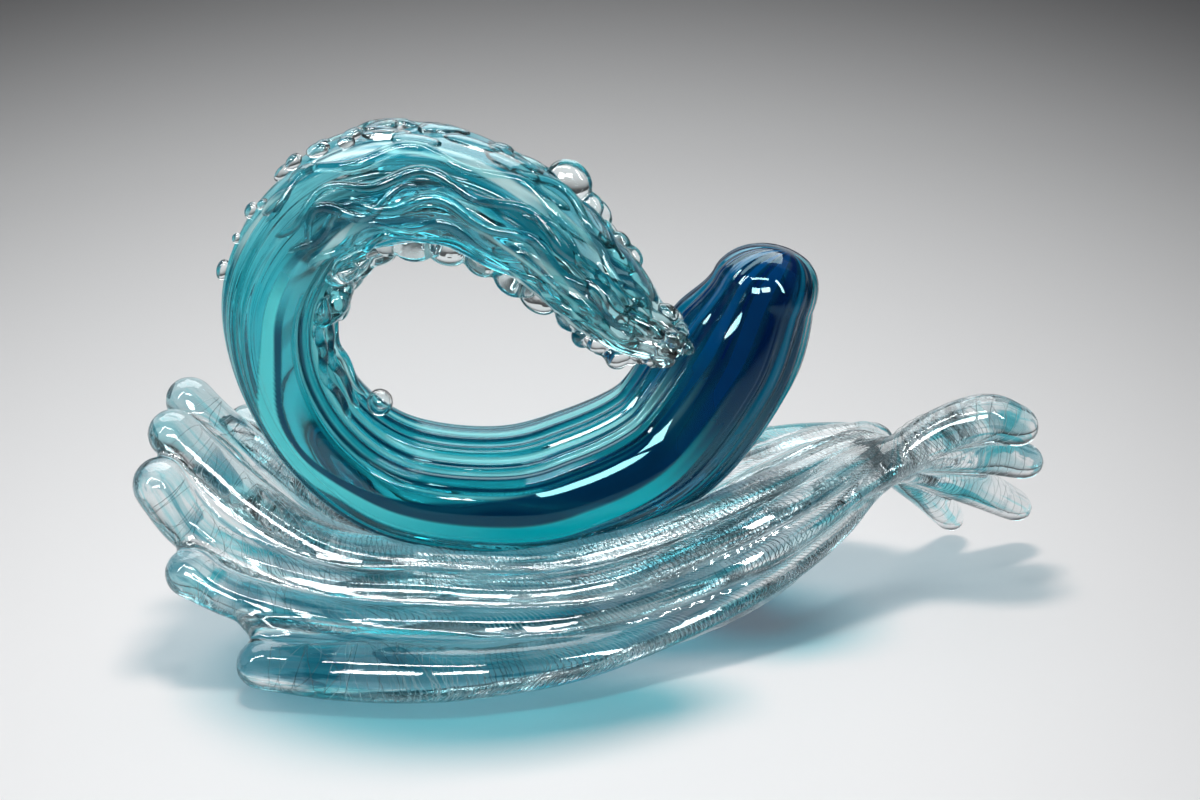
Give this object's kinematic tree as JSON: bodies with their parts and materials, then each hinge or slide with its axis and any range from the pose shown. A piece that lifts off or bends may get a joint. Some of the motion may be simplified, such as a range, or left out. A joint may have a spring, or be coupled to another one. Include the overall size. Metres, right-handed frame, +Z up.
{
  "type": "glass wave sculpture",
  "caption": "Free-standing hot-sculpted glass ornament: a teal wave curls over with a foamy clear crest and sits in a fluted clear cradle with rounded lobes.",
  "frame": {"origin": "on the table, under the middle of the sculpture's bounding box", "axes": "+X along the length, to the right of the pictured view, where the blue arm and the cradle's tail are; +Y away from the viewer; +Z up"},
  "size_m": [0.5174, 0.2215, 0.3017],
  "materials": {
    "clear_glass": "fire-polished clear glass with fine white and grey threads inside",
    "teal_glass": "fire-polished transparent teal glass",
    "cobalt_glass": "dense cobalt glass cased under teal",
    "aqua_glass": "fire-polished pale aqua glass",
    "foam_glass": "fire-polished clear glass beads",
    "bond": "clear cured glass adhesive"
  },
  "bodies": {
    "root": {"base_body": "clear_glass", "seat_bond": "bond", "wave_body": "teal_glass", "wave_core": "cobalt_glass", "crest_tip": "foam_glass", "drip_strands": "aqua_glass", "curl_bubble": "foam_glass", "crest_strand_1": "aqua_glass", "crest_strand_2": "aqua_glass", "crest_strand_3": "aqua_glass", "crest_strand_4": "aqua_glass", "crest_strand_5": "aqua_glass", "foam_back": "foam_glass", "foam_inner": "foam_glass", "foam_outer": "foam_glass", "foam_tip": "foam_glass"}
  },
  "joints": []
}
